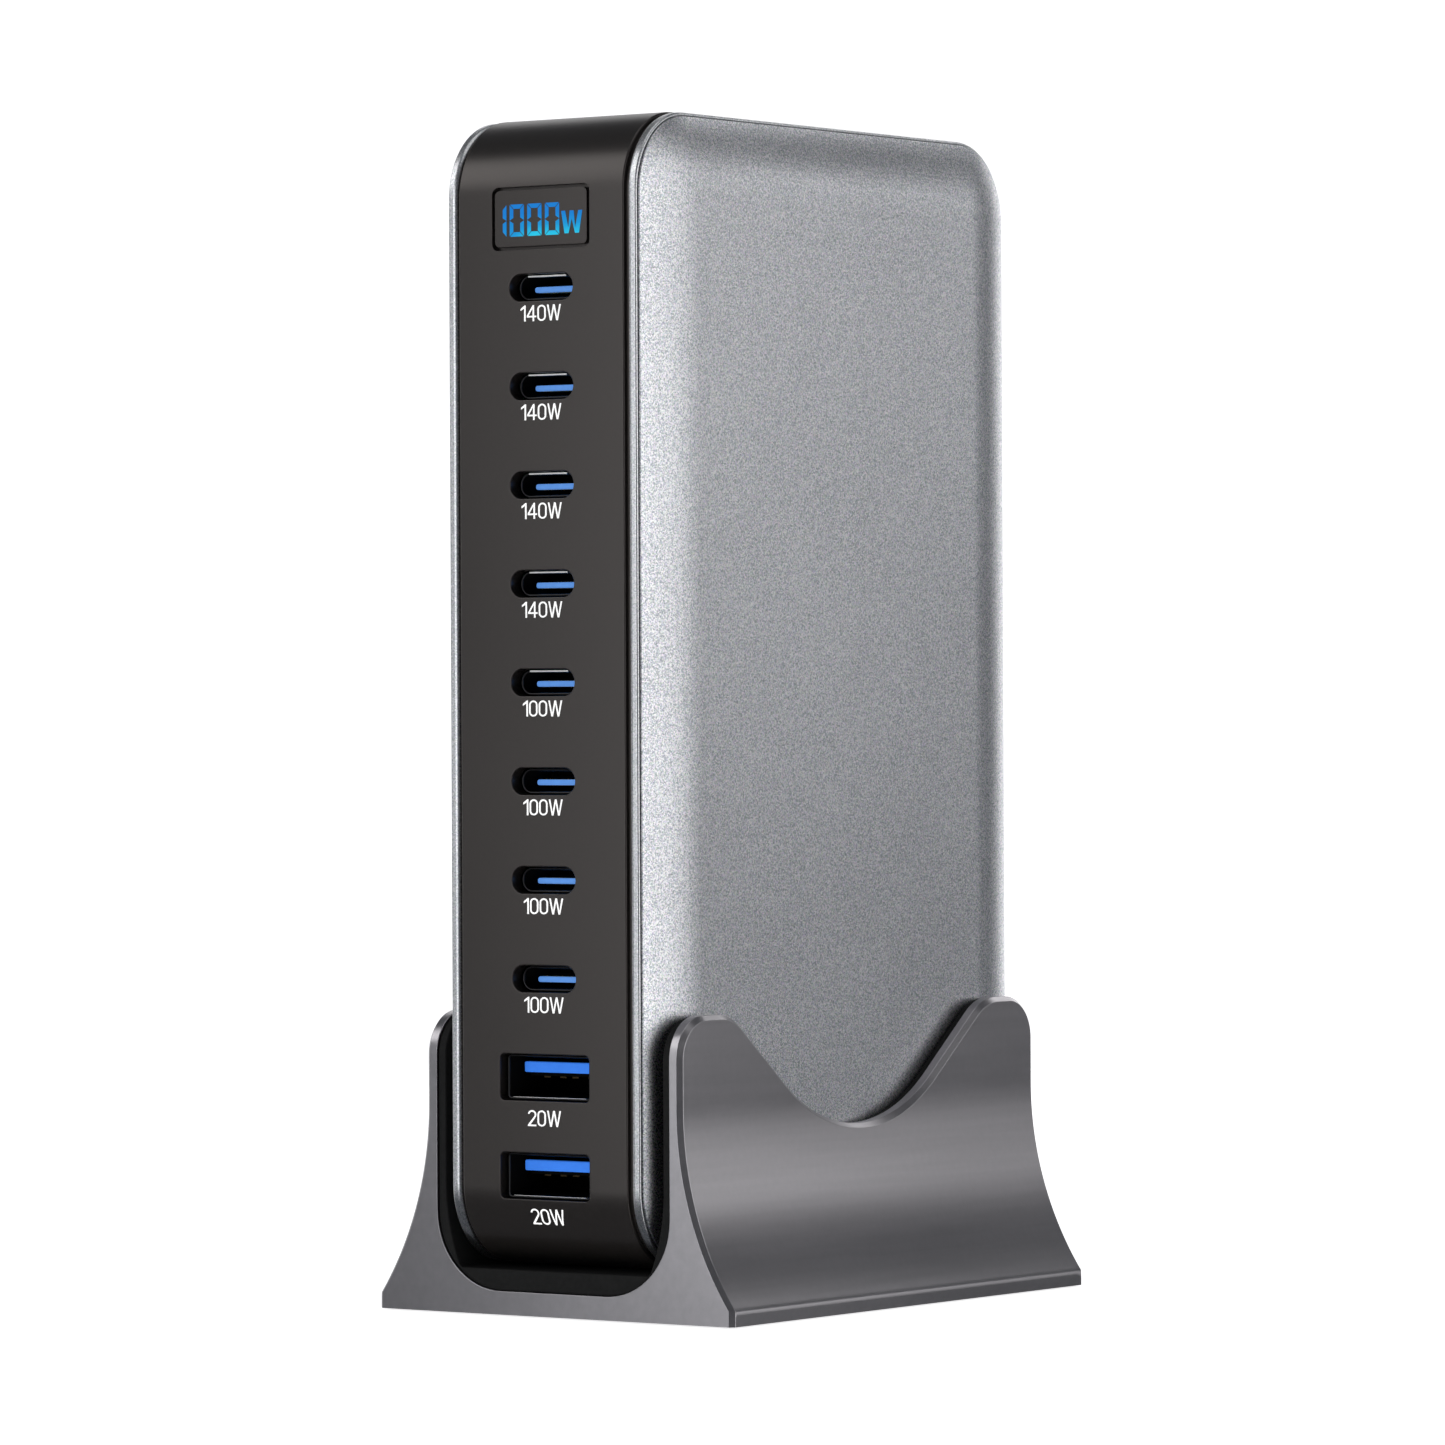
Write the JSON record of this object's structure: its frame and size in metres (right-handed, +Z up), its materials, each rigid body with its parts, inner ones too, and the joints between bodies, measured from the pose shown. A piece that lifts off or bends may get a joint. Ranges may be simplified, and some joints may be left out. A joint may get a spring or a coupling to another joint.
{
  "type": "desktop usb charging station with cradle stand",
  "caption": "Slim upright USB charging station with a black port band, silver bulged side plates and a display, standing in a flared saddle cradle it lifts out of.",
  "frame": {"origin": "centre of the base on the plane of the feet", "axes": "+Z up and along the tall way, -Y towards the port face, +X across the thin way"},
  "size_m": [0.0562, 0.0832, 0.1527],
  "materials": {
    "stand_plastic": "satin",
    "black_rubber": "matte",
    "black_plastic": "fine satin texture",
    "rim_aluminium": "satin",
    "plate_aluminium": "fine bead-blasted grain",
    "port_steel": "bright",
    "light_blue_plastic": "satin",
    "blue_plastic": "satin",
    "contact_brass": "bright",
    "window_gloss": "gloss",
    "digit_light": "lit",
    "black_resin": "matte",
    "board_green": "satin",
    "screw_steel": "bright",
    "inlet_plastic": "gloss",
    "fuse_body": "satin",
    "copper_winding": "lacquered",
    "yellow_resin": "gloss",
    "capacitor_sleeve": "gloss",
    "ferrite": "matte",
    "spreader_aluminium": "plain"
  },
  "bodies": {
    "stand": {"stand": "stand_plastic", "stand_liner": "black_rubber", "foot_1": "black_rubber", "foot_2": "black_rubber", "foot_3": "black_rubber", "foot_4": "black_rubber"},
    "charger": {"band": "black_plastic", "cover_left": "rim_aluminium", "cover_right": "rim_aluminium", "plate_left": "plate_aluminium", "plate_right": "plate_aluminium", "usb_c_shell_1": "port_steel", "usb_c_shell_2": "port_steel", "usb_c_shell_3": "port_steel", "usb_c_shell_4": "port_steel", "usb_c_shell_5": "port_steel", "usb_c_shell_6": "port_steel", "usb_c_shell_7": "port_steel", "usb_c_shell_8": "port_steel", "usb_c_tongue_1": "light_blue_plastic", "usb_c_tongue_2": "light_blue_plastic", "usb_c_tongue_3": "light_blue_plastic", "usb_c_tongue_4": "light_blue_plastic", "usb_c_tongue_5": "light_blue_plastic", "usb_c_tongue_6": "light_blue_plastic", "usb_c_tongue_7": "light_blue_plastic", "usb_c_tongue_8": "light_blue_plastic", "usb_a_shell_1": "port_steel", "usb_a_shell_2": "port_steel", "usb_a_tongue_1": "blue_plastic", "usb_a_tongue_2": "blue_plastic", "usb_a_contacts": "contact_brass", "display_window": "window_gloss", "display_digits": "digit_light", "display_module": "black_resin", "display_board": "board_green", "port_board": "board_green", "usb_a_board": "board_green", "main_board": "board_green", "main_screws": "screw_steel", "port_screws": "screw_steel", "inlet_housing": "inlet_plastic", "inlet_pins": "screw_steel", "fuse": "fuse_body", "emi_choke": "copper_winding", "x_capacitor": "yellow_resin", "bridge_rectifier": "black_resin", "bulk_capacitors": "capacitor_sleeve", "transformer_1": "ferrite", "transformer_2": "ferrite", "output_capacitors": "capacitor_sleeve", "heat_spreader_left": "spreader_aluminium", "heat_spreader_right": "spreader_aluminium"}
  },
  "joints": [
    {"name": "charger_lift", "type": "slide", "parent": "stand", "child": "charger", "axis": [0, 0, 1], "range_m": [0, 0.06]}
  ]
}
